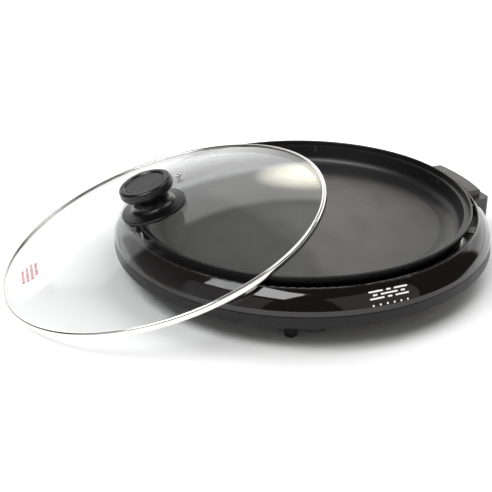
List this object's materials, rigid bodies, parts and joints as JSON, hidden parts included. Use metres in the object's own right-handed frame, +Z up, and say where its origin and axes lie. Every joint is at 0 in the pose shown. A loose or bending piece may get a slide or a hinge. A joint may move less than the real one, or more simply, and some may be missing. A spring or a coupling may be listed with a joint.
{
  "type": "electric griddle",
  "caption": "Round electric griddle: shallow cast pan in a ring-shaped plastic base with a side socket, and a domed glass lid with a round knob leaning on the pan's lip.",
  "frame": {"origin": "on the floor under the pan's vertical axis", "axes": "+Z up; +X towards the side socket for the heat controller; -Y is the front"},
  "size_m": [0.5295, 0.404, 0.1149],
  "materials": {
    "gloss_shell": "high-gloss dark aubergine moulding",
    "satin_shell": "satin purple-grey moulding, fine grain",
    "socket_plastic": "satin dark grey moulding, fine grain",
    "foot_rubber": "matt black rubber",
    "zinc_screw": "zinc plated",
    "bracket_steel": "plain stamped sheet",
    "reflector_sheet": "bright aluminised sheet",
    "nonstick_cast": "cast, with a fine-pebbled dark non-stick coat",
    "heater_sheath": "heat-darkened tube",
    "white_ceramic": "unglazed, off-white",
    "plated_pin": "nickel plated",
    "lid_glass": "clear tempered glass, faint grey-green",
    "rim_stainless": "polished stainless band",
    "knob_phenolic": "satin black heat-proof moulding",
    "knob_cap_plastic": "fine matt black disc",
    "gasket_silicone": "grey silicone",
    "front_print": null,
    "lid_print": null
  },
  "bodies": {
    "base": {"upper_housing": "gloss_shell", "lower_housing": "satin_shell", "rubber_feet": "foot_rubber", "foot_screws": "zinc_screw", "housing_screws": "zinc_screw", "pan_supports": "bracket_steel", "heat_reflector": "reflector_sheet", "reflector_screws": "zinc_screw", "socket_shroud": "socket_plastic", "socket_cover": "socket_plastic", "socket_screws": "zinc_screw"},
    "griddle": {"griddle_pan": "nonstick_cast", "heating_element": "heater_sheath", "element_clamps": "bracket_steel", "clamp_screws": "zinc_screw", "terminal_bracket": "bracket_steel", "terminal_bushings": "white_ceramic", "terminal_pins": "plated_pin", "probe_tube": "plated_pin"},
    "lid": {"lid_glass": "lid_glass", "lid_rim": "rim_stainless", "steam_eyelet": "rim_stainless", "knob_base": "knob_phenolic", "knob_grip": "knob_phenolic", "knob_cap": "knob_cap_plastic", "knob_gasket": "gasket_silicone", "knob_washer": "bracket_steel", "knob_screw": "zinc_screw"}
  },
  "joints": [
    {"name": "griddle_lift", "type": "slide", "parent": "base", "child": "griddle", "axis": [0, 0, 1], "range_m": [0, 0.08]},
    {"name": "lid_lift", "type": "slide", "parent": "griddle", "child": "lid", "axis": [0, 0, 1], "range_m": [0, 0.12]}
  ]
}
